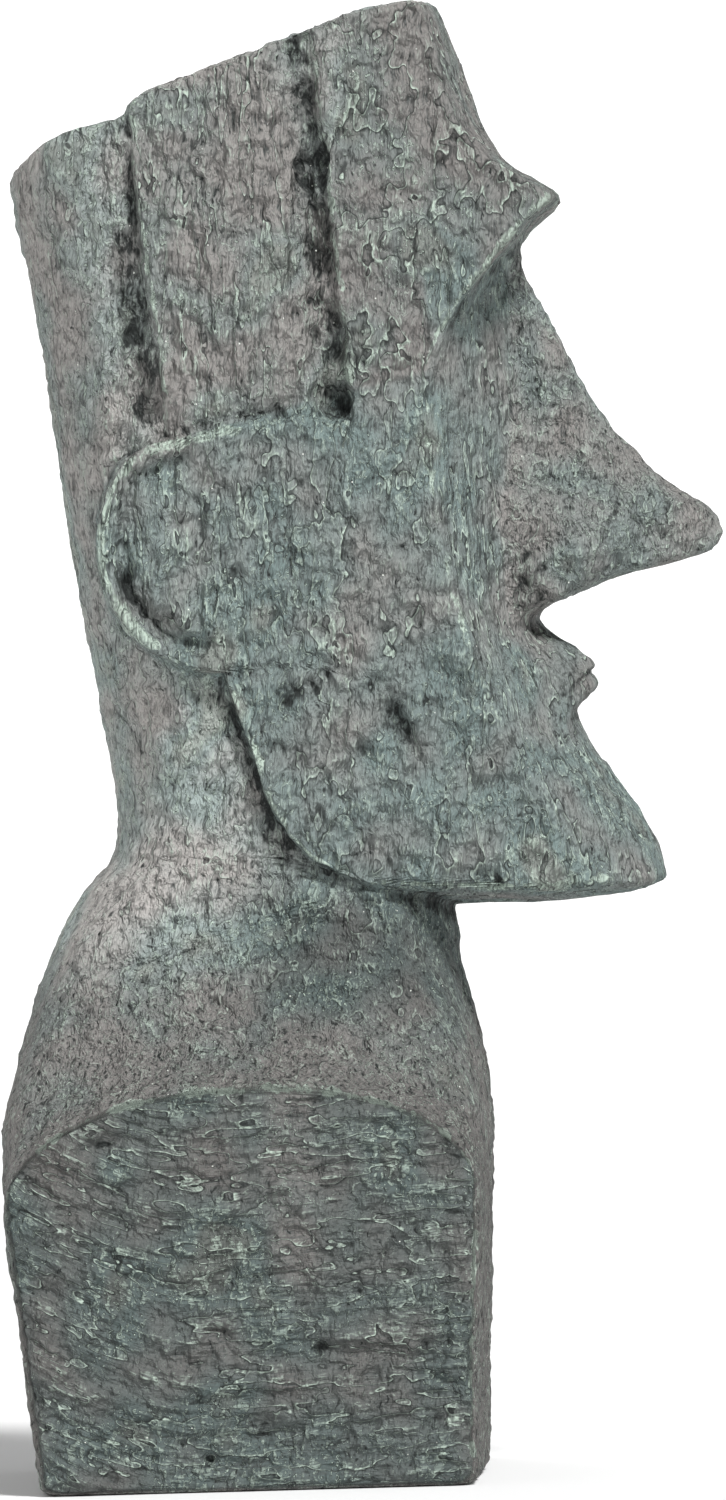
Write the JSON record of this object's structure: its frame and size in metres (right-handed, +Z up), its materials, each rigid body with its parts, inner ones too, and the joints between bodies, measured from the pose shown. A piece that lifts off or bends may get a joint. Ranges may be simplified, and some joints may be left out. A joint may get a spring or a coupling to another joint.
{
  "type": "moai stone head statue",
  "caption": "Cast garden statue of a stylised moai: long flat-sided head with heavy brow, long nose, jutting chin and oval ear on a squared, arch-topped shoulder block, worn grey-green stone finish",
  "frame": {"origin": "middle of the flat underside, on the plane that it stands on", "axes": "+Z up; the figure faces -Y; its right side is -X and its left side is +X; X runs across its width"},
  "size_m": [0.2538, 0.3051, 0.6091],
  "materials": {
    "weathered_stone": "matt grey cast stone with mauve and blue-green patches, near-black crevices and pale mint dry-brushed edges"
  },
  "bodies": {
    "root": {"moai_statue": "weathered_stone"}
  },
  "joints": []
}
